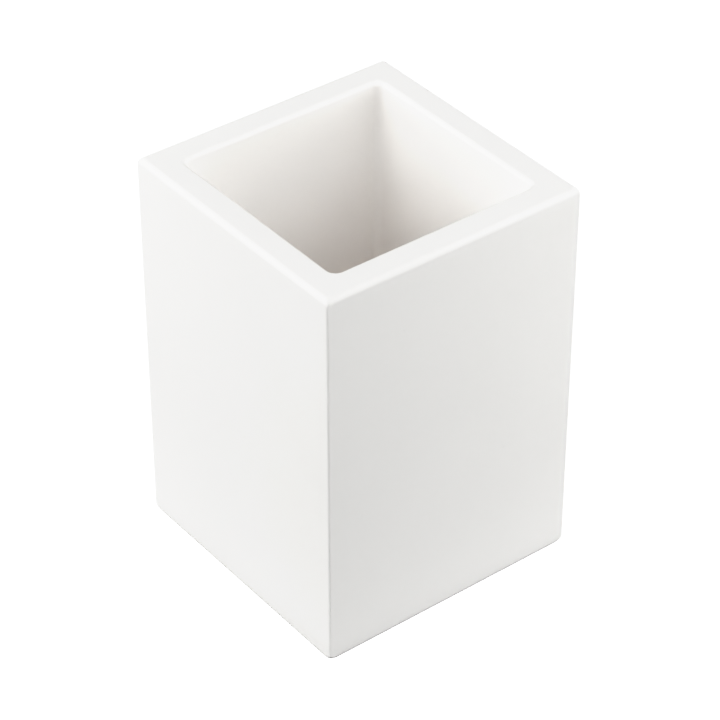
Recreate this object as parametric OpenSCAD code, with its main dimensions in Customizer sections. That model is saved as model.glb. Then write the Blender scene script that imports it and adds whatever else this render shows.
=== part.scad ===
// Square pen cup: four mitred wall boards round a base board, filler coves in the
// upright inner corners, and a thin felt pad under the base.
// The origin is the centre of the face that the cup stands on. +X is right, -Y is front.

/* [Cup] */
// Outside width and depth of the cup
cup_w = 70; // [60:1:90]
// Height of the wall boards
wall_h = 101.6; // [80:0.2:130]
// Thickness of a wall board with its lacquer
wall_t = 7.4; // [6:0.1:10]

/* [Edges] */
// Radius of the upright outer arrises
arris_r = 0.5; // [0.4:0.1:2]
// Radius of the outer arris round the rim
rim_r = 1.4; // [0.4:0.1:2]
// Radius of the inner arris round the mouth
mouth_r = 1.2; // [0.4:0.1:1.5]
// Radius of the outer arris round the foot
foot_r = 1.8; // [0.6:0.1:2.5]
// Radius of the filler cove in each upright inner corner
cove_r = 2; // [1.5:0.1:6]

/* [Base] */
// Thickness of the base board
base_t = 6; // [4:0.5:10]
// How far the base board is let into each wall
rebate = 3.5; // [2:0.1:4.5]

/* [Pad] */
// Thickness of the felt pad
pad_t = 1.2; // [0.8:0.1:3]
// How far the pad is set in from the outer faces
pad_inset = 3.2; // [3:0.1:6]
// Corner radius of the pad
pad_corner_r = 2.5; // [1:0.5:6]

/* [Hidden] */
$fn = 64;

lacquer = [0.94, 0.94, 0.93];
bare_base = [0.93, 0.93, 0.92];
felt = [0.86, 0.85, 0.83];

// A cutting shape runs this far past what it cuts
over = 0.5;
// Thickness that the filler is feathered out to at the edges of a cove
feather = 0.05;

half_w = cup_w / 2;
mouth_half = half_w - wall_t;
base_w = 2 * (mouth_half + rebate);
foot_z = pad_t;
floor_z = foot_z + base_t;
rim_z = foot_z + wall_h;
// Distance from the cup's axis to the axis of a cove, along X and along Y
cove_at = mouth_half - cove_r - feather;
pad_w = cup_w - 2 * pad_inset;

// Square with rounded corners, centred
module rounded_square(w, r) {
    square([w - 2 * r, w], center = true);
    square([w, w - 2 * r], center = true);
    for (x = [-1, 1], y = [-1, 1])
        translate([x * (w / 2 - r), y * (w / 2 - r)])
            circle(r = r);
}

// What a round of radius r takes off a corner that lies at the origin,
// where the board fills the quarter with x > 0 and y > 0
module corner_waste(r) {
    difference() {
        translate([-over, -over])
            square(r + over);
        translate([r, r])
            circle(r = r);
    }
}

// Upright section of the front wall: x is depth from the outer face, y is height
module wall_section() {
    difference() {
        translate([0, foot_z])
            square([wall_t, wall_h]);
        translate([0, foot_z])
            corner_waste(foot_r);
        translate([0, rim_z])
            mirror([0, 1])
                corner_waste(rim_r);
        translate([wall_t - rebate, foot_z - over])
            square([rebate + over, base_t + over]);
    }
}

// Quarter of the cup that lies in front, between the two mitre planes
module mitre_wedge() {
    translate([0, 0, foot_z])
        linear_extrude(wall_h)
            polygon([[0, 0], [-half_w, -half_w], [half_w, -half_w]]);
}

// Waste of the round along the inner arris of the mouth, straight along each
// wall and turning round each cove
module mouth_waste() {
    for (a = [0 : 90 : 270])
        rotate([0, 0, a]) {
            translate([-cove_at, -mouth_half, rim_z])
                rotate([90, 0, 90])
                    linear_extrude(2 * cove_at)
                        mirror([1, 0])
                            mirror([0, 1])
                                corner_waste(mouth_r);
            translate([cove_at, -cove_at, rim_z])
                rotate([0, 0, -90])
                    rotate_extrude(angle = 90)
                        translate([cove_r, 0])
                            mirror([0, 1])
                                corner_waste(mouth_r);
        }
}

// One wall board; turn is its direction round the cup, with the front wall at 0
module wall(turn) {
    color(lacquer)
        rotate([0, 0, turn])
            difference() {
                intersection() {
                    translate([-half_w, -half_w, 0])
                        rotate([90, 0, 90])
                            linear_extrude(cup_w)
                                wall_section();
                    mitre_wedge();
                    translate([0, 0, foot_z])
                        linear_extrude(wall_h)
                            rounded_square(cup_w, arris_r);
                }
                mouth_waste();
            }
}

// Base board, flush with the lower edges of the walls
module base_board() {
    color(bare_base)
        translate([-base_w / 2, -base_w / 2, foot_z])
            cube([base_w, base_w, base_t]);
}

// One strip of filler, from the base board to the rim; turn 0 is front right
module cove(turn) {
    leg = cove_r + feather;
    color(lacquer)
        rotate([0, 0, turn])
            difference() {
                translate([0, 0, floor_z])
                    linear_extrude(rim_z - floor_z)
                        difference() {
                            translate([mouth_half - leg, -mouth_half])
                                square(leg);
                            translate([cove_at, -cove_at])
                                circle(r = cove_r);
                        }
                mouth_waste();
            }
}

// Felt pad that the cup stands on
module felt_pad() {
    color(felt)
        linear_extrude(pad_t)
            rounded_square(pad_w, pad_corner_r);
}

wall(0);  // front_wall
wall(90);  // right_wall
wall(180);  // back_wall
wall(270);  // left_wall
base_board();
cove(0);  // front_right_cove
cove(90);  // back_right_cove
cove(180);  // back_left_cove
cove(270);  // front_left_cove
felt_pad();
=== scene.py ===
"""Square pen cup of lacquered board: four mitred walls, a let-in base, filler coves and a felt pad."""

import math

import bmesh
import bpy
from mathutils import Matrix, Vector


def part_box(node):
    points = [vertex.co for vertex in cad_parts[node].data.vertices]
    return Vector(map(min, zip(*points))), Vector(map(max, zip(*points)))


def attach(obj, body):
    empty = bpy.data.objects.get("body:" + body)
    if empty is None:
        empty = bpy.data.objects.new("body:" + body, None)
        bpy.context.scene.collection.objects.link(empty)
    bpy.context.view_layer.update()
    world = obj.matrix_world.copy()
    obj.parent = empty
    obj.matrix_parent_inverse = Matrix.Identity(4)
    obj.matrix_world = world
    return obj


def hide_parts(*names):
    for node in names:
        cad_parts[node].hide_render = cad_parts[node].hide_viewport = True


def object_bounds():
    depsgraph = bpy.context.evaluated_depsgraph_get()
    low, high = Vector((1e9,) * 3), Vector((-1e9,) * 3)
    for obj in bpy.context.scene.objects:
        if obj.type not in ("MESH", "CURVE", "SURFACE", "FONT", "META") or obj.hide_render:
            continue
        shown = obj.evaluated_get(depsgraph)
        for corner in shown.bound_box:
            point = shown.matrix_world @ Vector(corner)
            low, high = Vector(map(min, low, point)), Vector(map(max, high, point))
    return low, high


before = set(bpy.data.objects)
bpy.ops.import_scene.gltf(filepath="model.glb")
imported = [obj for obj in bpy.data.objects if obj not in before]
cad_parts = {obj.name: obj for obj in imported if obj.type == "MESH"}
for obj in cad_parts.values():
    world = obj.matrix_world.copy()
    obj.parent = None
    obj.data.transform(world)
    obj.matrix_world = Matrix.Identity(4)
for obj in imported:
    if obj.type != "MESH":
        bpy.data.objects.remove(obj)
cad_low, cad_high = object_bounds()

MM = 0.001

# ---------------------------------------------------------------- sizes, from the parts in model.glb
wall_low, wall_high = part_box("front_wall")
base_low, base_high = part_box("base_board")
pad_low, pad_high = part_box("felt_pad")
cove_low, cove_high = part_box("front_right_cove")

HALF = -cad_low.y
MOUTH = -wall_high.y
FOOT_Z, FLOOR_Z, RIM_Z = wall_low.z, base_high.z, wall_high.z
REBATE_HALF = base_high.x
COVE_R = cove_high.x - cove_low.x

# ---------------------------------------------------------------- finish of the edges
# The upright arrises are only eased; the rim and the foot are rounded over, and the corners
# of the rim and of the foot are rubbed rounder than the arris between them
ARRIS_R = 0.5 * MM
RIM_R = 1.4 * MM
RIM_CORNER_R = 0.9 * MM
MOUTH_R = 1.2 * MM
FOOT_R = 1.8 * MM
FOOT_CORNER_R = 4 * MM
# Length of arris over which a rubbed corner runs out into the plain arris
RUN_OUT = 2.5 * MM
REBATE_CORNER_R = 0.5 * MM
BASE_CORNER_R = 0.7 * MM
BASE_EASE = 0.15 * MM
PAD_CORNER_R = 2.5 * MM
PAD_EASE = 0.3 * MM
# Room left round the felt for its lumps, how deep and how wide they are, and the mesh that shows them
FELT_SLACK = 0.01 * MM
FELT_LUMPS = 0.12 * MM
TUFT_SIZE = 1.6 * MM
FELT_MESH = 0.5 * MM

# Steps round a quarter of an arris, and round an upright corner of the shell
EDGE_STEPS = 8
CORNER_STEPS = 16
# The filler is feathered out to this thickness where it runs onto the boards
FEATHER = 0.01 * MM
# Sawing and remeshing are too coarse for so small a piece, so it is worked on this much larger
BENCH_SCALE = 1000
SAW_TOLERANCE = 1e-4
SMOOTH_ANGLE = math.radians(35)
# Only edges that turn by more than this are eased
SHARP_ANGLE = math.radians(40)
# Level outlines are held this far apart while they are bridged
HELD_APART = 1 * MM
# Measures closer together than this are taken as the same
MARGIN = 0.002 * MM


# ---------------------------------------------------------------- bench tools
def bare_selection():
    """Leave object mode clean, with nothing selected."""
    if bpy.context.object and bpy.context.object.mode != "OBJECT":
        bpy.ops.object.mode_set(mode="OBJECT")
    bpy.ops.object.select_all(action="DESELECT")


def take(piece):
    """Make one piece the selected and active one."""
    bare_selection()
    piece.select_set(True)
    bpy.context.view_layer.objects.active = piece


def block(name, low, high):
    """A rectangular blank between two corners, with its place in its mesh."""
    bare_selection()
    bpy.ops.mesh.primitive_cube_add(size=1, location=(low + high) / 2, scale=high - low)
    bpy.ops.object.transform_apply(location=True, rotation=True, scale=True)
    piece = bpy.context.object
    piece.name = piece.data.name = name
    return piece


def pick_edges(piece, rule):
    """In edit mode, select just the edges that rule accepts."""
    bpy.ops.mesh.select_all(action="DESELECT")
    bpy.ops.mesh.select_mode(type="EDGE")
    mesh = bmesh.from_edit_mesh(piece.data)
    for edge in mesh.edges:
        edge.select = rule(edge)
    mesh.select_flush_mode()
    bmesh.update_edit_mesh(piece.data)


def near(a, b):
    """Whether two measures are the same."""
    return abs(a - b) < MARGIN


def reach(vertex):
    """How far out a vertex lies, square to the nearest wall."""
    return max(abs(vertex.co.x), abs(vertex.co.y))


def resized(piece, factor):
    """Scale a piece about the origin, mesh and all."""
    piece.scale = (factor, factor, factor)
    bpy.ops.object.transform_apply(location=False, rotation=False, scale=True)


def sawn(blank, name, cuts):
    """A copy of the blank, sawn off beyond each (point, direction) and closed at the cut."""
    take(blank)
    bpy.ops.object.duplicate()
    piece = bpy.context.object
    piece.name = piece.data.name = name
    resized(piece, BENCH_SCALE)
    bpy.ops.object.mode_set(mode="EDIT")
    for point, direction in cuts:
        bpy.ops.mesh.select_all(action="SELECT")
        bpy.ops.mesh.bisect(
            plane_co=point * BENCH_SCALE,
            plane_no=direction,
            use_fill=True,
            clear_outer=True,
            threshold=SAW_TOLERANCE,
        )
    bpy.ops.object.mode_set(mode="OBJECT")
    resized(piece, 1 / BENCH_SCALE)
    return piece


def rubbed_down(piece):
    """Smooth shading over the rounds, with the flat faces kept flat."""
    take(piece)
    bpy.ops.object.shade_smooth_by_angle(angle=SMOOTH_ANGLE)
    flat = piece.modifiers.new("flat_faces", "WEIGHTED_NORMAL")
    flat.keep_sharp = True
    flat.weight = 100
    bpy.ops.object.modifier_apply(modifier=flat.name)
    return piece


# ---------------------------------------------------------------- the boards
def quarter_round():
    """Sine and cosine at even steps round a quarter circle."""
    angles = [math.radians(90) * step / EDGE_STEPS for step in range(EDGE_STEPS + 1)]
    return [(math.sin(a), math.cos(a)) for a in angles]


def rubbed(corner_r, distance):
    """Radius of an outer arris at a distance along it from a corner that is rubbed to corner_r."""
    along = min(distance / RUN_OUT, 1)
    return ARRIS_R + (corner_r - ARRIS_R) * (1 - along) ** 2


def shell_outlines():
    """Level outlines (height, half width, corner radius) in order round the section of a wall:
    up the outside, over the rim, down the inside and back under the base board."""
    inner = MOUTH - FEATHER
    foot = [(FOOT_R * (1 - c), HALF - FOOT_R * (1 - s)) for s, c in quarter_round()]
    run_out = [(FOOT_R + (RUN_OUT - FOOT_R) * step / 3, HALF) for step in (1, 2, 3)]
    outlines = [(FOOT_Z + up, half, rubbed(FOOT_CORNER_R, up)) for up, half in foot + run_out]
    run_out = [(RIM_R + (RUN_OUT - RIM_R) * step / 3, HALF) for step in (3, 2, 1)]
    rim = [(RIM_R * (1 - s), HALF - RIM_R * (1 - c)) for s, c in quarter_round()]
    outlines += [(RIM_Z - down, half, rubbed(RIM_CORNER_R, down)) for down, half in run_out + rim]
    mouth = [(MOUTH_R * (1 - c), MOUTH_R * (1 - s)) for s, c in quarter_round()]
    outlines += [(RIM_Z - down, inner + out, COVE_R + out) for down, out in mouth]
    outlines.append((FLOOR_Z, inner, COVE_R))
    outlines += [(z, REBATE_HALF, REBATE_CORNER_R) for z in (FLOOR_Z, FOOT_Z)]
    return outlines


def lies_on(edge, outline):
    """Whether an edge belongs to an outline."""
    height, half, corner_r = outline
    nearest = half - corner_r * (1 - math.sqrt(0.5))
    return all(
        near(v.co.z, height) and nearest - MARGIN < reach(v) < half + MARGIN for v in edge.verts
    )


def lifted(shell, outline, rise):
    """Move one outline up, and say where it now lies."""
    pick_edges(shell, lambda e: lies_on(e, outline))
    bpy.ops.transform.translate(value=(0, 0, rise))
    height, half, corner_r = outline
    return height + rise, half, corner_r


def bridged(shell, one, other):
    """Join two outlines. Level ones are held apart meanwhile, or the bridge would come out turned."""
    apart = HELD_APART if near(one[0], other[0]) else 0
    other = lifted(shell, other, apart)
    pick_edges(shell, lambda e: lies_on(e, one) or lies_on(e, other))
    bpy.ops.mesh.bridge_edge_loops()
    lifted(shell, other, -apart)


def glued_up_shell():
    """The four walls as glued up, filled in the corners and rounded over, before they are told apart."""
    outlines = shell_outlines()
    bare_selection()
    bpy.ops.mesh.primitive_plane_add(size=1)
    shell = bpy.context.object
    shell.name = shell.data.name = "shell"
    bpy.ops.object.mode_set(mode="EDIT")
    bpy.ops.mesh.delete(type="VERT")
    for height, half, corner_r in outlines:
        bpy.ops.mesh.select_all(action="DESELECT")
        bpy.ops.mesh.primitive_plane_add(size=2 * half, location=(0, 0, height))
        bpy.ops.mesh.bevel(affect="VERTICES", offset=corner_r, segments=CORNER_STEPS, profile=0.5)
        bpy.ops.mesh.delete(type="ONLY_FACE")
    for one, other in zip(outlines, outlines[1:] + outlines[:1]):
        bridged(shell, one, other)
    bpy.ops.mesh.select_all(action="SELECT")
    bpy.ops.mesh.normals_make_consistent(inside=False)
    bpy.ops.object.mode_set(mode="OBJECT")
    return shell


def turned(x, y, quarter):
    """A direction or a point in plan, turned by quarter turns about the cup's axis."""
    for _ in range(quarter):
        x, y = -y, x
    return Vector((x, y, 0))


def wall_board(shell, name, quarter):
    """One board, between its two mitres and behind the face that looks into the cup."""
    cuts = [
        (Vector(), turned(1, 1, quarter)),
        (Vector(), turned(-1, 1, quarter)),
        (turned(0, -MOUTH, quarter), turned(0, 1, quarter)),
    ]
    return rubbed_down(sawn(shell, name, cuts))


def cove(shell, name, quarter):
    """The filler in one inner corner, from the base board to the rim."""
    start = MOUTH - FEATHER - COVE_R
    cuts = [
        (turned(MOUTH, 0, quarter), turned(1, 0, quarter)),
        (turned(0, -MOUTH, quarter), turned(0, -1, quarter)),
        (turned(start, 0, quarter), turned(-1, 0, quarter)),
        (turned(0, -start, quarter), turned(0, 1, quarter)),
    ]
    return rubbed_down(sawn(shell, name, cuts))


# ---------------------------------------------------------------- base and pad
def upright(edge):
    """Whether an edge of a block runs up and down."""
    return not near(edge.verts[0].co.z, edge.verts[1].co.z)


def eased(piece, corner_r, corner_steps, ease, ease_steps):
    """Round a block's upright edges, then ease the edges that are still sharp."""
    bpy.ops.object.mode_set(mode="EDIT")
    pick_edges(piece, upright)
    bpy.ops.mesh.bevel(offset=corner_r, segments=corner_steps, profile=0.5)
    bpy.ops.object.mode_set(mode="OBJECT")
    bevel = piece.modifiers.new("eased_edges", "BEVEL")
    bevel.width = ease
    bevel.segments = ease_steps
    bevel.angle_limit = SHARP_ANGLE
    bpy.ops.object.modifier_apply(modifier=bevel.name)


def base_board():
    """The board that the pens stand on, eased along its edges so that it drops into the rebate."""
    board = block("base_board_piece", base_low, base_high)
    eased(board, corner_r=BASE_CORNER_R, corner_steps=4, ease=BASE_EASE, ease_steps=2)
    return rubbed_down(board)


def felt_pad():
    """Die-cut felt: rounded at the corners in plan, soft along its cut edge and lumpy with fibres."""
    slack = Vector((FELT_SLACK, FELT_SLACK, FELT_SLACK))
    pad = block("felt_pad_piece", pad_low + slack, pad_high - slack)
    eased(pad, corner_r=PAD_CORNER_R, corner_steps=8, ease=PAD_EASE, ease_steps=3)
    resized(pad, BENCH_SCALE)
    wool = pad.modifiers.new("wool", "REMESH")
    wool.mode = "VOXEL"
    wool.voxel_size = FELT_MESH * BENCH_SCALE
    bpy.ops.object.modifier_apply(modifier=wool.name)
    tufts = bpy.data.textures.new("tufts", "CLOUDS")
    tufts.noise_scale = TUFT_SIZE * BENCH_SCALE
    tufts.noise_depth = 2
    lumps = pad.modifiers.new("lumps", "DISPLACE")
    lumps.texture = tufts
    lumps.texture_coords = "LOCAL"
    # Lumps are only ever pressed in, so that the pad keeps to its place
    lumps.mid_level = 1
    lumps.strength = FELT_LUMPS * BENCH_SCALE
    bpy.ops.object.modifier_apply(modifier=lumps.name)
    resized(pad, 1 / BENCH_SCALE)
    bpy.ops.object.shade_smooth()
    return pad


# ---------------------------------------------------------------- finishes
# Paint colours: on the outside, a brighter copy with painted light inside the mouth, a warmer copy with
# painted warm shade deep inside the cup, and over the filler
OUTER_WHITE = (0.958, 0.93, 0.907)
MOUTH_PAINTED_LIGHT = (0.976, 0.949, 0.926)
DEEP_PAINTED_SHADE = (0.985, 0.928, 0.881)
FILLER_WHITE = (0.956, 0.929, 0.904)
# Heights between which the painted warm shade deep in the cup takes over
WARM_FROM, WARM_TO = 84 * MM, 50 * MM
DUST = (0.55, 0.52, 0.48)
# Sizes of what the lacquer shows: clouds of tone, dust, gloss, waves of the board, peel, sanding
CLOUD_SIZE, DUST_SPACING, GLOSS_SIZE, HANDLING_SIZE = 38 * MM, 9 * MM, 3 * MM, 12 * MM
WAVE_SIZE, PEEL_SIZE, SANDING_SIZE = 26 * MM, 1.5 * MM, 0.28 * MM
# How deep each kind of relief is
WAVE_DEPTH, PEEL_DEPTH, SANDING_DEPTH, NIB_DEPTH = 0.06 * MM, 0.012 * MM, 0.003 * MM, 0.01 * MM
# How far below the rim hands have rubbed it
HANDLED = 3 * MM
FELT_PALE = (0.84, 0.83, 0.81)
FELT_DARK = (0.7, 0.69, 0.66)
# Sizes of the felt's tangled fibres and of its thick and thin places, and how deep the fibres stand
FIBRE_SIZE, THICK_SIZE, FIBRE_DEPTH = 0.5 * MM, 7 * MM, 0.08 * MM


class Finish:
    """A material under construction, with short ways to add and join its nodes."""

    def __init__(self, name):
        self.made = bpy.data.materials.new(name)
        self.made.use_nodes = True
        self.nodes = self.made.node_tree.nodes
        self.shader = self.nodes["Principled BSDF"]
        self.place = self.nodes.new("ShaderNodeTexCoord").outputs["Object"]

    def join(self, value, socket):
        """Link an output to a socket, or set the socket to a plain value."""
        if isinstance(value, bpy.types.NodeSocket):
            self.made.node_tree.links.new(value, socket)
        else:
            socket.default_value = value

    def sum(self, operation, one, other=0.0):
        """One step of arithmetic on two values."""
        node = self.nodes.new("ShaderNodeMath")
        node.operation = operation
        self.join(one, node.inputs[0])
        self.join(other, node.inputs[1])
        return node.outputs[0]

    def grain(self, size, detail=2.0):
        """Noise from 0 to 1 whose features are about this size."""
        node = self.nodes.new("ShaderNodeTexNoise")
        node.inputs["Scale"].default_value = 1 / size
        node.inputs["Detail"].default_value = detail
        self.join(self.place, node.inputs["Vector"])
        return node.outputs[0]

    def ramp(self, value, start, end, low, high):
        """Low where value is at start, high where it is at end, and no further."""
        node = self.nodes.new("ShaderNodeMapRange")
        self.join(value, node.inputs["Value"])
        node.inputs["From Min"].default_value = start
        node.inputs["From Max"].default_value = end
        node.inputs["To Min"].default_value = low
        node.inputs["To Max"].default_value = high
        return node.outputs[0]

    def blend(self, factor, one, other, how="MIX"):
        """The first colour, mixed with or multiplied by the second."""
        node = self.nodes.new("ShaderNodeMix")
        node.data_type = "RGBA"
        node.blend_type = how
        self.join(factor, node.inputs[0])
        self.join(one, node.inputs[6])
        self.join(other, node.inputs[7])
        return node.outputs[2]

    def grey(self, value):
        """A value from 0 to 1 as a grey."""
        node = self.nodes.new("ShaderNodeCombineColor")
        for channel in node.inputs:
            self.join(value, channel)
        return node.outputs[0]

    def relief(self, height, depth, under=None):
        """Bump of this depth, on top of the relief that lies under it."""
        node = self.nodes.new("ShaderNodeBump")
        node.inputs["Distance"].default_value = depth
        self.join(height, node.inputs["Height"])
        if under:
            self.join(under, node.inputs["Normal"])
        return node.outputs[0]

    def axes(self):
        """X, Y and Z across the piece, in metres."""
        node = self.nodes.new("ShaderNodeSeparateXYZ")
        self.join(self.place, node.inputs[0])
        return node.outputs


def sprayed_lacquer(name, white):
    """Matt spray lacquer: cloudy by a hair, orange peel, fine sanding, rim rubbed by hands; painted
    light inside the mouth, running down into painted warm shade deep in the cup.
    """
    paint = Finish(name)
    x, y, z = paint.axes()
    across = paint.sum("MAXIMUM", paint.sum("ABSOLUTE", x), paint.sum("ABSOLUTE", y))
    # Painted light: inside the mouth the white is a brighter copy of the outer white
    inside = paint.ramp(across, MOUTH + MOUTH_R, MOUTH + FEATHER, 0, 1)
    # Painted warm shade: deeper in the cup the white turns warmer
    depth = paint.ramp(z, WARM_FROM, WARM_TO, 0, 1)
    painted_light_and_shade_inside = paint.blend(depth, (*MOUTH_PAINTED_LIGHT, 1), (*DEEP_PAINTED_SHADE, 1))
    color = paint.blend(inside, (*white, 1), painted_light_and_shade_inside)
    clouds = paint.ramp(paint.grain(CLOUD_SIZE, 3), 0.3, 0.7, 0.988, 1.006)
    color = paint.blend(1.0, color, paint.grey(clouds), "MULTIPLY")
    # A few specks of dust under the lacquer
    dust = paint.nodes.new("ShaderNodeTexVoronoi")
    dust.inputs["Scale"].default_value = 1 / DUST_SPACING
    paint.join(paint.place, dust.inputs["Vector"])
    speck = paint.ramp(dust.outputs["Distance"], 0.018, 0.03, 1, 0)
    color = paint.blend(paint.sum("MULTIPLY", speck, 0.12), color, (*DUST, 1))
    paint.join(color, paint.shader.inputs["Base Color"])
    matt = paint.ramp(paint.grain(GLOSS_SIZE), 0.3, 0.7, 0.52, 0.6)
    rubbed_rim = paint.ramp(z, RIM_Z - HANDLED, RIM_Z, 0, 0.06)
    patchy = paint.ramp(paint.grain(HANDLING_SIZE), 0.35, 0.65, 0, 1)
    matt = paint.sum("SUBTRACT", matt, paint.sum("MULTIPLY", rubbed_rim, patchy))
    paint.join(matt, paint.shader.inputs["Roughness"])
    paint.shader.inputs["Specular IOR Level"].default_value = 0.2
    waves = paint.relief(paint.grain(WAVE_SIZE, 0), WAVE_DEPTH)
    peel = paint.relief(paint.grain(PEEL_SIZE, 1), PEEL_DEPTH, waves)
    sanding = paint.relief(paint.grain(SANDING_SIZE), SANDING_DEPTH, peel)
    nibs = paint.relief(speck, NIB_DEPTH, sanding)
    paint.join(nibs, paint.shader.inputs["Normal"])
    return paint.made


def pressed_felt():
    """Grey-white wool felt: tangled fibres, pressed flat, with thin and thick places."""
    felt = Finish("pressed_felt")
    fibres = felt.nodes.new("ShaderNodeTexNoise")
    fibres.inputs["Scale"].default_value = 1 / FIBRE_SIZE
    fibres.inputs["Detail"].default_value = 6
    fibres.inputs["Distortion"].default_value = 2.5
    felt.join(felt.place, fibres.inputs["Vector"])
    strands = felt.ramp(fibres.outputs[0], 0.35, 0.65, 0, 1)
    thick = felt.ramp(felt.grain(THICK_SIZE, 3), 0.3, 0.7, 0.92, 1.03)
    color = felt.blend(strands, (*FELT_DARK, 1), (*FELT_PALE, 1))
    felt.join(felt.blend(1.0, color, felt.grey(thick), "MULTIPLY"), felt.shader.inputs["Base Color"])
    felt.join(felt.ramp(strands, 0, 1, 0.97, 0.86), felt.shader.inputs["Roughness"])
    felt.shader.inputs["Sheen Weight"].default_value = 0.3
    felt.shader.inputs["Sheen Roughness"].default_value = 0.5
    felt.join(felt.relief(strands, FIBRE_DEPTH), felt.shader.inputs["Normal"])
    return felt.made


def coat(piece, material):
    """Finish a piece in one material, and fix it to the cup."""
    piece.data.materials.clear()
    piece.data.materials.append(material)
    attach(piece, "root")


# ---------------------------------------------------------------- studio
def outward(azimuth, elevation):
    """The direction from the cup towards azimuth (0 is the front, 90 the right) and elevation."""
    azimuth, elevation = math.radians(azimuth), math.radians(elevation)
    return Vector(
        (
            math.sin(azimuth) * math.cos(elevation),
            -math.cos(azimuth) * math.cos(elevation),
            math.sin(elevation),
        )
    )


# Where the camera stands, and how far to the right of and above the middle of the walls it aims
EYE_AZIMUTH, EYE_ELEVATION, EYE_DISTANCE = 52.24, 36.87, 664.8 * MM
AIM_RIGHT, AIM_UP = 0.61 * MM, -0.7 * MM


def camera():
    """Looks down into the mouth past the front right arris, from a long way off."""
    back = outward(EYE_AZIMUTH, EYE_ELEVATION)
    right = outward(EYE_AZIMUTH + 90, 0)
    up = back.cross(right)
    aim = Vector((0, 0, (FOOT_Z + RIM_Z) / 2)) + AIM_RIGHT * right + AIM_UP * up
    bpy.ops.object.camera_add(location=aim + EYE_DISTANCE * back)
    eye = bpy.context.object
    eye.rotation_euler = (-back).to_track_quat("-Z", "Y").to_euler()
    eye.data.lens = 144
    eye.data.sensor_width = 36
    eye.data.clip_start = 0.01
    bpy.context.scene.camera = eye


DAYLIGHT = (0.964, 0.987, 0.99)
# Azimuth, elevation, distance, size and power of each softbox round the cup
SOFTBOXES = [
    (-25, 10, 1.2, 0.6, 1.9),
    (-25, 40, 1.2, 0.6, 3.4),
    (0, 30, 1.2, 0.6, 6.2),
    (50, 50, 1.2, 0.6, 3.4),
    (100, 40, 1.2, 0.6, 3.4),
    (125, 30, 1.2, 0.6, 3.6),
    (-70, 14, 0.3, 0.2, 0.6),
    (155, 12, 0.3, 0.2, 0.7),
    (200, 12, 0.4, 0.3, 0.2),
    (232, 22, 0.45, 0.35, 0.25),
]
# Height that the softboxes face
LAMPS_FACE = 50 * MM
# Light that the floor throws back: from everywhere below, from near the cup and from close to its foot
FLOOR_BOUNCE, NEAR_BOUNCE, FOOT_BOUNCE = 0.14, 0.23, 0.5
NEAR_REACH, FOOT_REACH, SHADE_REACH = 250 * MM, 60 * MM, HALF + 3 * MM
# Half width of the floor and radius of the backdrop, in metres
FLOOR_REACH, BACKDROP_RADIUS = 3, 4
# Height of the floor, and how far the sheets under it lie apart
STAGE_Z, SHEET_GAP = -0.01 * MM, 0.1 * MM
# The film's shoulder: how bright each of these strengths of light comes out
SHOULDER = [(0.86, 0.86), (0.98, 0.922), (1.15, 0.952)]
# The light that comes out as full white
FULL_WHITE = 1.6


def glowing(name, strength):
    """A stage material that gives off light of its own and reflects none."""
    made = bpy.data.materials.new(name)
    made.use_nodes = True
    shader = made.node_tree.nodes["Principled BSDF"]
    shader.inputs["Base Color"].default_value = (0, 0, 0, 1)
    shader.inputs["Specular IOR Level"].default_value = 0
    shader.inputs["Emission Color"].default_value = (*DAYLIGHT, 1)
    shader.inputs["Emission Strength"].default_value = strength
    return made


def level_sheet(name, half, height, material):
    """A level square sheet of the stage, centred under the cup."""
    bare_selection()
    bpy.ops.mesh.primitive_plane_add(size=2 * half, location=(0, 0, height))
    sheet = bpy.context.object
    sheet.name = name
    sheet.data.materials.append(material)
    return sheet


def only_seen(piece):
    """Keep a piece of the stage from touching the light: the camera sees it, and nothing else does."""
    piece.visible_diffuse = False
    piece.visible_glossy = False
    piece.visible_shadow = False


def floor():
    """A white floor and backdrop that only the camera sees, and the light that such a floor throws."""
    white = glowing("pale_floor", 2 * FULL_WHITE)
    white.node_tree.nodes["Principled BSDF"].inputs["Emission Color"].default_value = (1, 1, 1, 1)
    only_seen(level_sheet("floor", FLOOR_REACH, STAGE_Z, white))
    bare_selection()
    bpy.ops.mesh.primitive_uv_sphere_add(radius=BACKDROP_RADIUS)
    backdrop = bpy.context.object
    backdrop.name = "backdrop"
    backdrop.data.materials.append(white)
    only_seen(backdrop)
    # Each sheet lies on top of the middle of the one before it, and the last is the dark under the cup
    under = [
        ("near", NEAR_REACH, 3, NEAR_BOUNCE),
        ("foot", FOOT_REACH, 2, FOOT_BOUNCE),
        ("shade", SHADE_REACH, 1, 0),
    ]
    for name, half, layer, strength in under:
        light = glowing(name + "_light", strength)
        sheet = level_sheet(name + "_bounce", half, -SHEET_GAP * layer, light)
        sheet.visible_camera = False


def softbox(azimuth, elevation, distance, size, power):
    """A square lamp that faces the cup."""
    toward = outward(azimuth, elevation)
    bpy.ops.object.light_add(type="AREA", location=Vector((0, 0, LAMPS_FACE)) + distance * toward)
    lamp = bpy.context.object
    lamp.data.size = size
    lamp.data.energy = power
    lamp.data.color = DAYLIGHT
    lamp.rotation_euler = (-toward).to_track_quat("-Z", "Y").to_euler()


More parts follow.
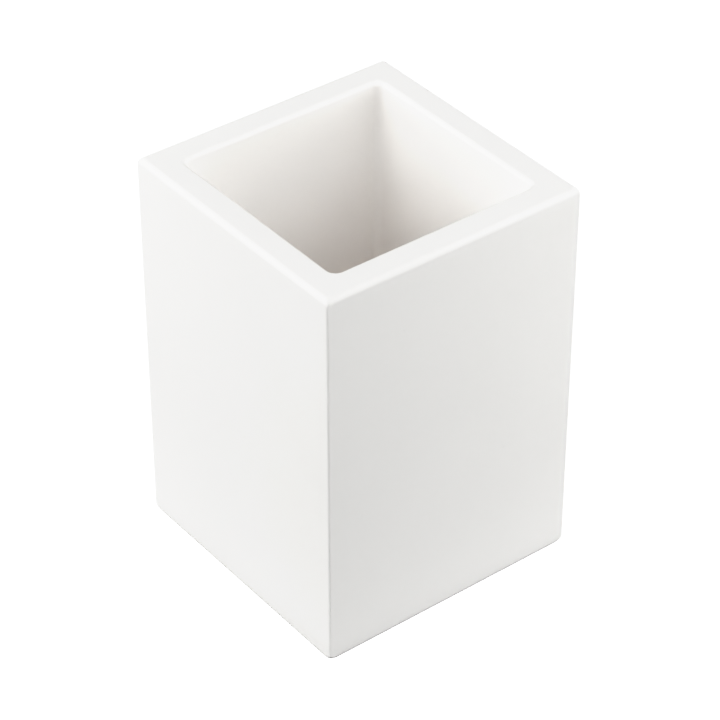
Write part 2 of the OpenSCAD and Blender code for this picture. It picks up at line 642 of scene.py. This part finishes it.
def film():
    """Print the light straight up to the shoulder, and gently from there up to full white."""
    view = bpy.context.scene.view_settings
    view.view_transform = "Standard"
    view.use_curve_mapping = True
    mapping = view.curve_mapping
    mapping.white_level = (FULL_WHITE, FULL_WHITE, FULL_WHITE)
    points = mapping.curves[3].points
    for light, brightness in SHOULDER:
        points.new(light / FULL_WHITE, brightness)
    for point in points:
        point.handle_type = "VECTOR"
    mapping.update()


def studio_light():
    """The softboxes, and a world that is lit below the horizon only, as by a wide pale floor."""
    for setup in SOFTBOXES:
        softbox(*setup)
    world = bpy.data.worlds.new("studio")
    bpy.context.scene.world = world
    world.use_nodes = True
    nodes, links = world.node_tree.nodes, world.node_tree.links
    surround = nodes["Background"]
    surround.inputs["Color"].default_value = (*DAYLIGHT, 1)
    direction = nodes.new("ShaderNodeTexCoord")
    parts = nodes.new("ShaderNodeSeparateXYZ")
    below = nodes.new("ShaderNodeMath")
    below.operation = "LESS_THAN"
    below.inputs[1].default_value = 0
    bounce = nodes.new("ShaderNodeMath")
    bounce.operation = "MULTIPLY"
    bounce.inputs[1].default_value = FLOOR_BOUNCE
    links.new(direction.outputs["Generated"], parts.inputs[0])
    links.new(parts.outputs["Z"], below.inputs[0])
    links.new(below.outputs[0], bounce.inputs[0])
    links.new(bounce.outputs[0], surround.inputs["Strength"])


# ---------------------------------------------------------------- put together
camera()
lacquer = sprayed_lacquer("white_lacquer", OUTER_WHITE)
filled = sprayed_lacquer("white_filler", FILLER_WHITE)
felt = pressed_felt()

shell = glued_up_shell()
for quarter, side in enumerate(("front", "right", "back", "left")):
    board = wall_board(shell, side + "_board", quarter)
    coat(board, lacquer)
    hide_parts(side + "_wall")
for quarter, corner in enumerate(("front_right", "back_right", "back_left", "front_left")):
    filler = cove(shell, corner + "_filler", quarter)
    coat(filler, filled)
    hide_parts(corner + "_cove")
bpy.data.objects.remove(shell)

bottom = base_board()
coat(bottom, lacquer)
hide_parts("base_board")

pad = felt_pad()
coat(pad, felt)
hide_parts("felt_pad")

floor()
studio_light()
film()
